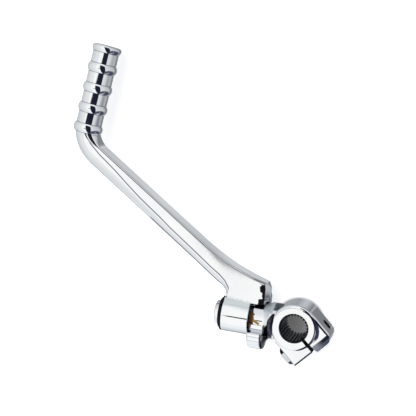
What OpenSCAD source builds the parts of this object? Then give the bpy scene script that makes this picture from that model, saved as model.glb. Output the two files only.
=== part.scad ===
// Folding kick start lever for a small motorcycle.
// The splined hub clamps on the kick shaft. The arm folds about a spindle that is forged with the hub.
// Origin: on the shaft bore's axis, at mid length, where the fold axis crosses it.
// +Z runs along the bore, towards the outer face of the hub. -X runs along the fold axis, to the circlip.
// The model is drawn with the arm folded flat.

/* [Shaft bore] */
// Diameter across the roots of the hub's inner spline, mm
spline_root_d = 16; // [15:0.1:17]
// Diameter across the tips of the spline's teeth, mm
spline_tip_d = 14; // [13.4:0.1:14.6]
// Number of spline teeth
spline_teeth = 26; // [20:1:30]
// Depth of the lead-in chamfer at both ends of the bore, mm
bore_chamfer = 0.8; // [0.3:0.1:1.2]

/* [Hub] */
// Outside diameter of the hub, mm
hub_d = 26; // [25:0.1:28]
// Length of the hub along the bore, mm
hub_len = 22; // [20:0.5:26]
// Rounding of the hub's outer rims, mm
hub_round = 1.8; // [0.8:0.1:2.2]

/* [Clamp ears] */
// Direction of the slit, degrees below +X
slit_angle = 43; // [38:1:50]
// Width of the slit, mm
slit_w = 2; // [1:0.1:2.6]
// Distance from the bore's axis to the free end of the ear under the bolt's head, mm
ear_reach = 16.6; // [15.5:0.1:19]
// Distance from the bore's axis to the free end of the tapped ear, mm
tapped_reach = 18.6; // [17:0.1:20]
// Distance from the slit's middle to an ear's outer face, mm
ear_half_w = 13.4; // [13.2:0.1:15]
// How far the ears sit below the hub's end faces, mm
ear_step = 0.8; // [0.3:0.1:1.5]
// Rounding of the edges of the ear under the bolt's head, mm
ear_round = 0.4; // [0.2:0.1:1.5]
// Rounding of the tapped ear's long edges, mm
tapped_round = 2; // [1:0.1:2.6]
// Rounding of the tapped ear's outer corner, seen along the bore, mm
tapped_corner = 4; // [2:0.1:5]
// Rounding of the tapped ear's end, seen from the side, mm
tapped_nose = 5; // [3:0.1:6]

/* [Pinch bolt] */
// Thread diameter of the pinch bolt, mm
bolt_d = 6; // [5:0.1:6]
// Distance from the bore's axis to the bolt's axis, mm
bolt_offset = 10.3; // [10.3:0.1:11.4]
// Length of the bolt under its head, mm
bolt_len = 22; // [18:0.5:25]
// Width across the flats of the bolt's head, mm
bolt_head_af = 10; // [8:0.5:10]
// Height of the bolt's head, mm
bolt_head_h = 4; // [3:0.1:6]
// Clearance on diameter of the bolt's hole in the near ear, mm
bolt_clearance = 0.6; // [0.3:0.1:1]

/* [Fold spindle] */
// Diameter of the spindle, mm
spindle_d = 13.7; // [13:0.1:14]
// Running clearance on diameter between the spindle and the sleeve, mm
spindle_clearance = 0.1; // [0.04:0.02:0.16]
// Length of the spindle beyond the circlip, mm
spindle_tail = 2.8; // [1.5:0.1:4]
// Chamfer at the spindle's end, mm
spindle_chamfer = 1; // [0.4:0.1:1.4]

/* [Neck and stop collar] */
// Diameter of the neck between the hub and the collar, mm
neck_d = 18; // [17:0.1:19]
// Distance from the bore's axis to the collar's hub side, mm
collar_near = 17.5; // [16.8:0.1:18.5]
// Length of the collar along the fold axis, mm
collar_len = 8.8; // [7:0.1:10]
// Diameter of the plate behind, which stops the folded arm, mm
collar_d = 34; // [32:0.5:36]
// Diameter of the lobe that stops the unfolded arm, mm
lobe_d = 24.6; // [23.6:0.1:25.6]
// How far the lobe's middle lies below the fold axis, mm
lobe_drop = 5.3; // [4.6:0.1:6]
// How far the lobe's middle lies behind the fold axis, mm
lobe_back = 1.1; // [0.6:0.1:1.6]
// Diameter of the low ring between the neck and the lobe, mm
ring_d = 21.4; // [20:0.1:21.6]
// How far the ring's step lies below the fold axis, mm
ring_top = 1.7; // [1:0.1:3]
// Length of the hollow web from the lobe to the hub, mm
web_len = 7.2; // [6:0.1:8]
// How far the neck's shoulder is set back from the collar's sleeve side, mm
neck_setback = 2.3; // [1:0.1:3.5]
// Height of the flat ground on the collar's back, above the hub's back face, mm
collar_back_flat = 0.4; // [0.2:0.1:2]
// Rounding of the collar's outer rims, mm
collar_round = 1.4; // [0.6:0.1:2]

/* [Sleeve] */
// Outside diameter of the sleeve, mm
sleeve_d = 20.1; // [19:0.1:21.5]
// Length of the sleeve along the fold axis, mm
sleeve_len = 15.5; // [14:0.5:18]
// End play between the sleeve and the collar, mm
end_play = 0.2; // [0.1:0.05:0.3]

/* [Arm] */
// Angle of the arm above -X, degrees
arm_angle = 34.6; // [30:0.2:40]
// Height of the arm's centre line above the fold axis at the sleeve, mm
arm_root_y = 20; // [18:0.2:22]
// Distance along the arm from the sleeve to the bend's corner, mm
arm_len = 117; // [90:1:140]
// Width of the arm, mm
arm_w = 12.2; // [10:0.1:14]
// Thickness of the arm, mm
arm_t = 12.6; // [11:0.1:13]
// Width of the rounded zone on the arm's lower edge, near the sleeve, mm
arm_round_root = 5; // [3:0.1:6]
// Width of the rounded zone on the arm's lower edge, near the bend, mm
arm_round_tip = 7.4; // [6:0.1:8]
// Corner radius on the arm's upper edge, mm
arm_corner = 1.3; // [0.8:0.1:2.5]
// Centre line radius of the bend, mm
bend_radius = 18; // [14:0.5:24]

/* [Stop flange] */
// How far the flange overhangs the sleeve's hub side, mm
flange_overhang = 10.2; // [8:0.1:10.4]
// Height of the flange's upper corner above the fold axis, mm
flange_top = 21.4; // [20:0.1:23]
// Radius of the hollow under the flange, about the fold axis, mm
flange_hollow_r = 11.1; // [10.4:0.1:12]

/* [Foot peg] */
// Lean of the peg towards the hub, degrees
peg_lean = 9.2; // [0:0.2:14]
// Diameter of the ribs, mm
rib_d = 17.2; // [16:0.1:19]
// Diameter of the peg between the ribs, mm
peg_d = 15.1; // [14:0.1:16]
// Number of ribs
rib_count = 5; // [3:1:7]
// Distance from one rib to the next, mm
rib_pitch = 11.8; // [10:0.1:14]
// Width of one rib, mm
rib_w = 5.2; // [4:0.1:6.5]
// Distance from the bend's corner to the first rib, mm
peg_start = 9.4; // [8:0.1:14]
// Height of the domed end above the last rib's middle, mm
peg_cap = 3.7; // [3.2:0.1:5]

/* [Washer and circlip] */
// Outside diameter of the thrust washer, mm
washer_d = 20; // [17:0.1:21]
// Thickness of the thrust washer, mm
washer_t = 1; // [0.6:0.1:1.6]
// Thickness of the circlip, mm
clip_t = 1; // [0.8:0.1:1.4]
// Depth of the circlip's groove, mm
clip_groove = 0.4; // [0.25:0.05:0.6]
// Width of the circlip's ring, mm
clip_w = 2.1; // [1.4:0.1:2.6]

/* [Detent] */
// Diameter of the detent ball, mm
ball_d = 5; // [4:0.1:5.6]
// How far the ball stands out of the spindle, mm
ball_proud = 0.35; // [0.2:0.05:0.5]
// Distance from the sleeve's outer end to the ball, mm
ball_inset = 8; // [6:0.1:10]
// Wire diameter of the detent spring, mm
spring_wire = 0.7; // [0.4:0.05:0.9]
// Number of turns of the detent spring
spring_turns = 4; // [3:1:5]
// Thickness of the spindle left under the detent hole, mm
detent_floor = 3.4; // [2.6:0.1:4]

/* [Hidden] */

chrome = [0.86, 0.87, 0.89];
black_steel = [0.07, 0.07, 0.08];
zinc = [0.74, 0.75, 0.77];
spring_steel = [0.55, 0.56, 0.58];

round_fn = 64;
small_fn = 40;
cut = 1;                 // overshoot of a cutting tool past a face
slip = 0.1;              // clearance of a piece that drops into its seat
stop_gap = 0.1;          // gap left at a stop
face_gap = 0.05;         // gap between the parts of the washer stack

// Places along the fold axis, all negative towards the circlip
collar_x0 = -(collar_near + collar_len);
sleeve_x1 = collar_x0 - end_play;
sleeve_x0 = sleeve_x1 - sleeve_len;
washer_x1 = sleeve_x0 - face_gap;
washer_x0 = washer_x1 - washer_t;
clip_x1 = washer_x0 - face_gap;
clip_x0 = clip_x1 - clip_t;
spindle_x0 = clip_x0 - spindle_tail;
neck_x0 = collar_x0 + neck_setback;
flange_x1 = sleeve_x1 + flange_overhang;
sleeve_bore_d = spindle_d + spindle_clearance;
stop_face = arm_t / 2 + stop_gap;
neck_flare_r = 6;        // hollow flare where the neck meets the hub
neck_flare_turn = 40;
ring_setback = 0.9;
ring_round = 2;

// Clamp
ear_z = hub_len / 2 - ear_step;
ear_back_share = 0.24;   // where the ears run out on the hub, as shares of its diameter
ear_side_share = 0.42;
slit_start = spline_tip_d / 2 - cut;

// Spline
tooth_step = 360 / spline_teeth;
groove_share = 0.56;     // part of the pitch that a groove takes at the tooth tips
groove_half_w = PI * spline_tip_d / spline_teeth * groove_share / 2;
groove_floor = 0.35;     // width of a groove's floor

// Detent
ball_x = sleeve_x0 + ball_inset;
ball_r = ball_d / 2;
ball_y = -(spindle_d / 2 + ball_proud - ball_r);
hole_top = spindle_d / 2 - detent_floor;
race_r = spindle_d / 2 + ball_proud + 0.15;
pocket_r = race_r + 0.45;
spring_mean_r = ball_r - spring_wire / 2 - 0.25;
spring_low = ball_y + sqrt(pow(ball_r + spring_wire / 2, 2) - pow(spring_mean_r, 2));
spring_high = hole_top - spring_wire / 2 - 0.05;

// Arm and peg in the plane of the fold. The arm's side direction points to its upper edge.
arm_dir = [-cos(arm_angle), sin(arm_angle)];
arm_side = [sin(arm_angle), cos(arm_angle)];
peg_dir = [sin(peg_lean), cos(peg_lean)];
arm_base = [sleeve_x0 + 2, arm_root_y];
bend_corner = arm_base + arm_len * arm_dir;
bend_from = 180 - peg_lean;
bend_to = 270 - arm_angle;
bend_tangent = bend_radius * tan((bend_to - bend_from) / 2);
bend_centre = bend_corner - bend_tangent * arm_dir + bend_radius * arm_side;
rod_d = peg_d - 0.3;     // the rod below the peg, just inside the peg's own diameter
bend_steps = 9;
wall_min = 0.3;          // least height of the arm's upper side wall
band_min = 0.3;          // least width of the arm's flat front
root_depth = 4;          // height above the fold axis at which the arm's root ends, inside the sleeve

// Web between the arm's faces and the sleeve
web_r = 8;
web_centre = [arm_t / 2 + 4.7, arm_t / 2 + web_r - 0.2];
web_inset = 0.6;

function arc(c, r, a0, a1, n) = [for (i = [0:n]) c + r * [cos(a0 + (a1 - a0) * i / n), sin(a0 + (a1 - a0) * i / n)]];
function mix(a, b, t) = a + (b - a) * t;
function ease(t) = t * t * (3 - 2 * t);

// One half of a rod's outline, from its lower edge to its upper one: across the width, and up
function half_outline(w, h, a, rn, rz) = concat(
    [for (i = [0:5]) [a * (1 - cos(18 * i)), h * sin(18 * i)]],
    [for (i = [0:3]) [w - rn + rn * sin(30 * i), h - rz + rz * cos(30 * i)]]
);

// A closed ring of points on the vertical plane through two edge points, lo and up
function ring(lo, up, h, a, rn, rz) =
    let (w = norm(up - lo), e = (up - lo) / w, n = 10,
         half = half_outline(w, h, min(a, w - rn - band_min), rn, min(rz, h - wall_min)))
    concat(
        [for (p = half) [lo[0] + e[0] * p[0], lo[1] + e[1] * p[0], p[1]]],
        [for (i = [n - 1:-1:1]) [lo[0] + e[0] * half[i][0], lo[1] + e[1] * half[i][0], -half[i][1]]]
    );

module loft(rings) {
    n = len(rings[0]);
    m = len(rings);
    polyhedron(
        points = [for (r = rings) for (p = r) p],
        faces = concat(
            [[for (i = [n - 1:-1:0]) i]],
            [[for (i = [0:n - 1]) (m - 1) * n + i]],
            [for (j = [0:m - 2]) for (i = [0:n - 1]) [j * n + i, j * n + (i + 1) % n, (j + 1) * n + (i + 1) % n]],
            [for (j = [0:m - 2]) for (i = [0:n - 1]) [j * n + i, (j + 1) * n + (i + 1) % n, (j + 1) * n + i]]
        )
    );
}

module rod_x(d, x0, x1, fn = round_fn) {
    translate([x0, 0, 0]) rotate([0, 90, 0]) cylinder(h = x1 - x0, d = d, $fn = fn);
}

// Turns a profile of [distance along the fold axis, radius] about the fold axis
module turned_x(profile) {
    rotate([0, 90, 0]) rotate_extrude($fn = round_fn) polygon([for (p = profile) [p[1], p[0]]]);
}

// Places its children in the clamp's own frame: x through the slit, y from the near ear to the far one
module in_clamp() {
    rotate([0, 0, -slit_angle]) children();
}

module hub_body() {
    r = hub_d / 2;
    z = hub_len / 2;
    rotate_extrude($fn = round_fn) polygon(concat(
        [[0, -z]],
        arc([r - hub_round, -z + hub_round], hub_round, -90, 0, 5),
        arc([r - hub_round, z - hub_round], hub_round, 0, 90, 5),
        [[0, z]]
    ));
}

// One ear as a block on the +Y side of the slit, cut from three outlines
module ear(reach, edge, corner, nose) {
    w = ear_half_w;
    z = ear_z;
    back = hub_d * ear_back_share;
    aside = hub_d * ear_side_share;
    intersection() {
        // across the slit
        translate([-hub_d / 2, 0, 0]) rotate([90, 0, 90]) linear_extrude(hub_d / 2 + reach + cut) polygon(concat(
            [[0, z], [0, -z]], arc([w - edge, -z + edge], edge, -90, 0, 4), arc([w - edge, z - edge], edge, 0, 90, 4)
        ));
        // along the bore
        translate([0, 0, -hub_len]) linear_extrude(2 * hub_len) polygon(concat(
            [[-back, 0], [reach, 0]], arc([reach - corner, w - corner], corner, 0, 90, 6), [[0, w], [-back, aside]]
        ));
        // from the side
        rotate([90, 0, 0]) translate([0, 0, -2 * w]) linear_extrude(3 * w) polygon(concat(
            [[-back - cut, z + cut], [-back - cut, -z - cut], [reach - nose, -z - cut]],
            arc([reach - nose, -z + nose], nose, -90, 0, 6), arc([reach - nose, z - nose], nose, 0, 90, 6),
            [[reach - nose, z + cut]]
        ));
    }
}

// The plain ear under the bolt's head and the rounded, tapped one
module ears() {
    in_clamp() {
        scale([1, -1, 1]) ear(ear_reach, ear_round, ear_round, ear_round);
        ear(tapped_reach, tapped_round, tapped_corner, tapped_nose);
    }
}

// The neck, with a hollow flare where it runs into the hub
module neck() {
    rod_x(neck_d, neck_x0, -hub_d / 4);
    r0 = neck_d / 2 - slip;
    r1 = r0 + neck_flare_r * (1 - cos(neck_flare_turn));
    turned_x(concat(
        [[-collar_near - cut, 0]],
        arc([-collar_near - cut, r0 + neck_flare_r], neck_flare_r, 270, 270 + neck_flare_turn, 6),
        [[-hub_d / 4, r1], [-hub_d / 4, 0]]
    ));
}

// A disc with rounded rims
module collar_disc(r, tail) {
    x0 = collar_x0;
    x1 = -collar_near;
    c = collar_round;
    turned_x(concat([[x0, 0]], arc([x0 + c, r - c], c, 180, 90, 4), arc([x1 - c, r - c], c, 90, 0, 4), tail));
}

// The stop collar: a lobe below the fold axis that stops the unfolded arm, and a plate behind that stops the folded one.
// A hollow web runs from the lobe to the hub. A low ring closes the step between the neck and the lobe.
module collar() {
    x1 = -collar_near;
    big = 2 * collar_d;
    lobe_r = lobe_d / 2;
    ring_x0 = collar_x0 + ring_setback;
    difference() {
        union() {
            translate([0, -lobe_drop, -lobe_back])
                collar_disc(lobe_r, concat(arc([x1 + web_len, lobe_r - collar_round], web_len, 180, 262, 8), [[x1 + web_len, 0]]));
            difference() {
                collar_disc(collar_d / 2, [[x1, 0]]);
                translate([collar_x0 - cut, -big / 2, -stop_face]) cube(big);
            }
        }
        translate([collar_x0 - cut, -stop_face, -stop_face]) cube(big);
        translate([collar_x0 - cut, -big / 2, -big - hub_len / 2 + collar_back_flat]) cube(big);
    }
    difference() {
        turned_x(concat([[ring_x0, 0]], arc([ring_x0 + ring_round, ring_d / 2 - ring_round], ring_round, 180, 90, 4), [[x1, ring_d / 2], [x1, 0]]));
        translate([ring_x0 - cut, -ring_top, -big / 2]) cube(big);
    }
}

module spindle() {
    r = spindle_d / 2;
    turned_x([[spindle_x0, 0], [spindle_x0, r - spindle_chamfer], [spindle_x0 + spindle_chamfer, r], [neck_x0 + cut, r], [neck_x0 + cut, 0]]);
}

// The bore with its lead-in chamfers, and one V-groove for each gap between two teeth
module spline_bore() {
    tip_r = spline_tip_d / 2;
    root_r = spline_root_d / 2;
    lead_r = root_r + 0.3;
    translate([0, 0, -hub_len / 2 - cut]) cylinder(h = hub_len + 2 * cut, r = tip_r, $fn = 96);
    for (i = [0:spline_teeth - 1]) rotate([0, 0, i * tooth_step])
        translate([0, 0, -hub_len / 2 - cut]) linear_extrude(hub_len + 2 * cut) polygon([
            [tip_r - 0.6, -groove_half_w * 1.35], [root_r, -groove_floor / 2],
            [root_r, groove_floor / 2], [tip_r - 0.6, groove_half_w * 1.35]
        ]);
    for (side = [-1, 1]) scale([1, 1, side]) translate([0, 0, hub_len / 2 - bore_chamfer])
        cylinder(h = bore_chamfer + 0.01, r1 = lead_r - bore_chamfer, r2 = lead_r, $fn = 96);
}

module boss() {
    color(chrome) difference() {
        union() {
            hub_body();
            ears();
            neck();
            collar();
            spindle();
        }
        spline_bore();
        in_clamp() {
            translate([slit_start, -slit_w / 2, -hub_len]) cube([tapped_reach, slit_w, 2 * hub_len]);
            translate([bolt_offset, -ear_half_w - cut, 0]) rotate([-90, 0, 0])
                cylinder(h = ear_half_w + cut, d = bolt_d + bolt_clearance, $fn = small_fn);
            translate([bolt_offset, 0, 0]) rotate([-90, 0, 0])
                cylinder(h = ear_half_w + cut, d = bolt_d + slip, $fn = small_fn);
        }
        // Groove of the circlip
        difference() {
            rod_x(spindle_d + 2 * cut, clip_x0 - face_gap, clip_x1 + face_gap);
            rod_x(spindle_d - 2 * clip_groove, clip_x0 - cut, clip_x1 + cut);
        }
        // Blind hole of the detent spring
        translate([ball_x, -spindle_d, 0]) rotate([-90, 0, 0])
            cylinder(h = spindle_d + hole_top, d = ball_d + slip, $fn = small_fn);
    }
}

// Edge points of the arm at a distance s from its base, towards the bend
function arm_pt(s, side) = arm_base + s * arm_dir + side * arm_side;

module arm() {
    w = arm_w;
    h = arm_t / 2;
    c = arm_corner;
    bend = [for (i = [0:bend_steps])
        let (t = i / bend_steps, k = ease(t), b = mix(bend_from, bend_to, t), o = [cos(b), sin(b)], bw = mix(rod_d, w, k))
        ring(bend_centre + (bend_radius + bw / 2) * o, bend_centre + (bend_radius - bw / 2) * o,
             mix(rod_d / 2, h, k), mix(rod_d / 2, arm_round_tip, k), mix(rod_d / 2, c, k), mix(rod_d / 2, c, k))];
    top = bend_corner + (bend_tangent + 1.5) * peg_dir;
    across = [cos(peg_lean), -sin(peg_lean)];
    start = ring(top - rod_d / 2 * across, top + rod_d / 2 * across, rod_d / 2, rod_d / 2, rod_d / 2, rod_d / 2);
    x0 = sleeve_x0;
    x1 = flange_x1;
    y = arm_root_y;
    root = [
        ring(arm_pt(22, -w / 2), arm_pt(22, w / 2), h, arm_round_root, c, c),
        ring(arm_pt(11, -w / 2 - 0.2), arm_pt(10.3, w / 2 + 0.8), h, arm_round_root, c, c),
        ring(arm_pt(5.4, -w / 2 - 0.2), arm_pt(1.9, w / 2 + 2), h, arm_round_root, c, c),
        ring([x0 - 2.5, y - 4.1], [mix(x0, x1, 0.56), flange_top + 2.6], h, arm_round_root * 0.9, c, c),
        ring([x0 - 0.5, y - 6], [x1 - 2.2, flange_top], h, arm_round_root * 0.6, c + 0.5, c),
        ring([x0 + 0.3, y - 8], [x1 - 0.2, flange_top - 2.9], h, arm_round_root * 0.4, c + 0.7, c),
        ring([x0 + 0.3, root_depth], [x1, root_depth], h, arm_round_root * 0.3, c + 0.7, c)
    ];
    loft(concat([start], bend, root));
}

// The ribbed foot peg, turned about its own axis
module peg() {
    r = peg_d / 2;
    rise = rib_d / 2 - r;
    bead = (pow(rib_w / 2, 2) + pow(rise, 2)) / (2 * rise);
    half = asin(rib_w / 2 / bead);
    last = (rib_count - 1) * rib_pitch;
    beads = [for (i = [0:rib_count - 2]) each arc([rib_d / 2 - bead, i * rib_pitch], bead, -half, half, 6)];
    base = bend_corner + peg_start * peg_dir;
    dome = 2;
    translate([base[0], base[1], 0]) rotate([0, 0, -peg_lean]) rotate([-90, 0, 0]) rotate_extrude($fn = round_fn) polygon(concat(
        [[0, -rib_w / 2]],
        beads,
        arc([rib_d / 2 - bead, last], bead, -half, 0, 3),
        arc([rib_d / 2 - dome, last + peg_cap - dome], dome, 0, 60, 4),
        [[0, last + peg_cap + 0.2]]
    ));
}

// Hollow webs that carry the arm's two faces down to the sleeve
module webs() {
    profile = concat(
        [[root_depth, -cut]],
        [[root_depth, sleeve_d / 2 - 1.5]],
        arc(web_centre, web_r, 250 - 22, 270 + 14, 8),
        [[arm_root_y - 7, -cut]]
    );
    for (side = [-1, 1]) scale([1, 1, side])
        translate([sleeve_x0 + web_inset, 0, 0]) rotate([90, 0, 90]) linear_extrude(sleeve_len - web_inset - 0.3) polygon(profile);
}

module lever() {
    r = sleeve_d / 2;
    x0 = sleeve_x0;
    x1 = sleeve_x1;
    edge = 0.5;
    color(chrome) difference() {
        union() {
            arm();
            peg();
            webs();
            turned_x([[x0, 0], [x0, r - edge], [x0 + edge, r], [x1 - edge / 2, r], [x1, r - edge / 2], [x1, 0]]);
        }
        rod_x(sleeve_bore_d, x0 - 2 * cut, x1 + 2 * cut);
        // Hollow that lets the flange swing round the neck
        rod_x(2 * flange_hollow_r, x1, flange_x1 + 2 * cut);
        // Race and two pockets of the detent ball
        rod_x(2 * race_r, ball_x - ball_r * 0.6, ball_x + ball_r * 0.6);
        translate([ball_x, 0, 0]) rotate([90, 0, 0]) cylinder(h = pocket_r, d = ball_d * 0.8, $fn = small_fn);
        translate([ball_x, 0, 0]) cylinder(h = pocket_r, d = ball_d * 0.8, $fn = small_fn);
    }
}

module thrust_washer() {
    color(black_steel) difference() {
        rod_x(washer_d, washer_x0, washer_x1);
        rod_x(spindle_d + 3 * slip, washer_x0 - cut, washer_x1 + cut);
    }
}

// Outside circlip with two eyes, its gap turned down and to the back
module circlip() {
    inner = spindle_d / 2 - clip_groove + face_gap;
    outer = inner + clip_w;
    eye_r = 1.7;
    eye_turn = 14;
    gap_turn = -45;
    color(black_steel) translate([clip_x0, 0, 0]) rotate([90, 0, 90]) linear_extrude(clip_t) rotate(gap_turn) difference() {
        union() {
            circle(r = outer, $fn = round_fn);
            for (side = [-1, 1]) rotate(-90 + side * eye_turn) translate([outer, 0]) circle(r = eye_r, $fn = small_fn);
        }
        circle(r = inner, $fn = round_fn);
        polygon([[0, 0], 12 * [-sin(eye_turn / 2), -cos(eye_turn / 2)], 12 * [sin(eye_turn / 2), -cos(eye_turn / 2)]]);
        for (side = [-1, 1]) rotate(-90 + side * eye_turn) translate([outer + 0.2, 0]) circle(d = 1.5, $fn = small_fn);
    }
}

module detent_ball() {
    color(spring_steel) translate([ball_x, ball_y, 0]) sphere(d = ball_d, $fn = round_fn);
}

// Coil spring as a tube swept along a helix
module detent_spring() {
    steps = 12 * spring_turns;
    sides = 6;
    rise = (spring_high - spring_low - 2 * face_gap) / steps;
    rings = [for (i = [0:steps])
        let (a = 30 * i, c = [spring_mean_r * cos(a), spring_low + face_gap + rise * i, spring_mean_r * sin(a)])
        [for (k = [0:sides - 1])
            let (q = spring_wire / 2 * cos(60 * k), v = -spring_wire / 2 * sin(60 * k))
            [ball_x + c[0] + q * cos(a), c[1] + v, c[2] + q * sin(a)]]];
    color(spring_steel) loft(rings);
}

module pinch_bolt() {
    r = bolt_head_af / 2;
    corner_r = r / cos(30);
    thread_r = bolt_d / 2;
    end_chamfer = 0.8;
    color(zinc) in_clamp() translate([bolt_offset, -ear_half_w, 0]) rotate([-90, 0, 0]) {
        intersection() {
            translate([0, 0, -bolt_head_h]) rotate([0, 0, 30]) cylinder(h = bolt_head_h, r = corner_r, $fn = 6);
            rotate_extrude($fn = round_fn) polygon([
                [0, 0], [corner_r + cut, 0], [corner_r + cut, -bolt_head_h + 0.9], [r * 0.95, -bolt_head_h], [0, -bolt_head_h]
            ]);
        }
        rotate_extrude($fn = round_fn) polygon([
            [0, -cut], [thread_r, -cut], [thread_r, bolt_len - end_chamfer], [thread_r - end_chamfer, bolt_len], [0, bolt_len]
        ]);
    }
}

boss();
lever();
thrust_washer();
circlip();
detent_ball();
detent_spring();
pinch_bolt();
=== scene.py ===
import math

import bmesh
import bpy
from mathutils import Matrix, Vector


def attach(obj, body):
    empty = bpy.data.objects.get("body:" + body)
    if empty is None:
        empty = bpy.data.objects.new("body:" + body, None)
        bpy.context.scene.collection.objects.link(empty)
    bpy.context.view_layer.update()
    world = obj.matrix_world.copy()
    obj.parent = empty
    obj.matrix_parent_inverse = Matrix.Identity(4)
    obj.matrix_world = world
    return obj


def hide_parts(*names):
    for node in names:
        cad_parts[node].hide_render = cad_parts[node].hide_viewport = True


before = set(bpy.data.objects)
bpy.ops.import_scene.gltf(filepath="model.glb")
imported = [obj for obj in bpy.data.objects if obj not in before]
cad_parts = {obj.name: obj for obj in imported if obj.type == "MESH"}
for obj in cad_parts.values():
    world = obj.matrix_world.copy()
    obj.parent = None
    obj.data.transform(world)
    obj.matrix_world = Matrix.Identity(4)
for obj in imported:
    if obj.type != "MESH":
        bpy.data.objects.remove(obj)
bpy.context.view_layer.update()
scene = bpy.context.scene
scene.view_settings.view_transform = "Standard"

mm = 0.001  # lengths below are in millimetres unless they say otherwise
joinDistance = 0.0005


def arc(centre, radius, start, end, steps):
    turns = [math.radians(start + (end - start) * i / steps) for i in range(steps + 1)]
    return [(centre[0] + radius * math.cos(a), centre[1] + radius * math.sin(a)) for a in turns]


def mix(a, b, share):
    return a + (b - a) * share


def ease(share):
    return share * share * (3 - 2 * share)


# for each axis, its direction and the side where profiles are drawn
turningAxes = {"X": (Vector((1, 0, 0)), Vector((0, 0, 1))), "Z": (Vector((0, 0, 1)), Vector((1, 0, 0)))}


def turned(profile, axis, steps=128, closed=False):
    # rows of the profile are (place along the axis, distance from it)
    bm = bmesh.new()
    along, out = turningAxes[axis]
    verts = [bm.verts.new(along * place + out * distance) for place, distance in profile]
    pairs = list(zip(verts, verts[1:])) + ([(verts[-1], verts[0])] if closed else [])
    edges = [bm.edges.new(pair) for pair in pairs]
    bmesh.ops.spin(bm, geom=verts + edges, cent=(0, 0, 0), axis=along, angle=math.tau, steps=steps, use_merge=True)
    return tidied(bm)


def tidied(bm):
    bmesh.ops.remove_doubles(bm, verts=bm.verts, dist=joinDistance)
    bmesh.ops.recalc_face_normals(bm, faces=bm.faces)
    return bm


def rod(radius, start, end, steps=96, endRadius=None):
    bm = bmesh.new()
    start, end = Vector(start), Vector(end)
    turn = (end - start).to_track_quat("Z", "Y").to_matrix().to_4x4()
    bmesh.ops.create_cone(bm, cap_ends=True, segments=steps, radius1=radius,
                          radius2=radius if endRadius is None else endRadius,
                          depth=(end - start).length, matrix=Matrix.Translation((start + end) / 2) @ turn)
    return bm


def block(low, high):
    bm = bmesh.new()
    low, high = Vector(low), Vector(high)
    spread = Matrix.Diagonal((*(high - low), 1))
    bmesh.ops.create_cube(bm, size=1, matrix=Matrix.Translation((low + high) / 2) @ spread)
    return bm


def prism(outline, rise):
    # the outline is a row of points in space, and rise a vector
    bm = bmesh.new()
    face = bm.faces.new([bm.verts.new(point) for point in outline])
    made = bmesh.ops.extrude_face_region(bm, geom=[face])["geom"]
    bmesh.ops.translate(bm, vec=rise, verts=[g for g in made if isinstance(g, bmesh.types.BMVert)])
    return tidied(bm)


def skinned(rings):
    # a skin drawn along rings of points, one extrusion a ring, closed at both ends
    bm = bmesh.new()
    loop = [bm.verts.new(point) for point in rings[0]]
    first = list(loop)
    edges = [bm.edges.new(pair) for pair in zip(loop, loop[1:] + loop[:1])]
    for ring in rings[1:]:
        made = bmesh.ops.extrude_edge_only(bm, edges=edges)["geom"]
        fresh = {g for g in made if isinstance(g, bmesh.types.BMVert)}
        loop = [next(e.other_vert(v) for e in v.link_edges if e.other_vert(v) in fresh) for v in loop]
        for vert, point in zip(loop, ring):
            vert.co = point
        edges = [g for g in made if isinstance(g, bmesh.types.BMEdge) and all(v in fresh for v in g.verts)]
    bm.faces.new(first)
    bm.faces.new(loop)
    return tidied(bm)


def turnedBy(bm, matrix):
    bmesh.ops.transform(bm, matrix=matrix, verts=bm.verts)
    return bm


def asObject(bm):
    mesh = bpy.data.meshes.new("tool")
    bm.to_mesh(mesh)
    bm.free()
    made = bpy.data.objects.new("tool", mesh)
    scene.collection.objects.link(made)
    return made


def combined(operation, bm, *tools):
    # exact booleans, one after the other
    parts = [asObject(part) for part in (bm, *tools)]
    for tool in parts[1:]:
        step = parts[0].modifiers.new("step", "BOOLEAN")
        step.operation, step.solver, step.object = operation, "EXACT", tool
    made = bmesh.new()
    made.from_object(parts[0], bpy.context.evaluated_depsgraph_get())
    for part in parts:
        mesh = part.data
        bpy.data.objects.remove(part)
        bpy.data.meshes.remove(mesh)
    return made


def finished(name, bm, materials, body, node, smoothBelow=32):
    bmesh.ops.remove_doubles(bm, verts=bm.verts, dist=joinDistance)
    bmesh.ops.scale(bm, vec=(mm, mm, mm), verts=bm.verts)
    mesh = bpy.data.meshes.new(name)
    bm.to_mesh(mesh)
    bm.free()
    mesh.shade_smooth()
    mesh.set_sharp_from_angle(angle=math.radians(smoothBelow))
    for material in materials:
        mesh.materials.append(material)
    piece = bpy.data.objects.new(name, mesh)
    scene.collection.objects.link(piece)
    even = piece.modifiers.new("even normals", "WEIGHTED_NORMAL")
    even.keep_sharp = True
    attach(piece, body)
    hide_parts(node)
    print(name, "has", len(mesh.polygons), "faces")
    return piece


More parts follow.
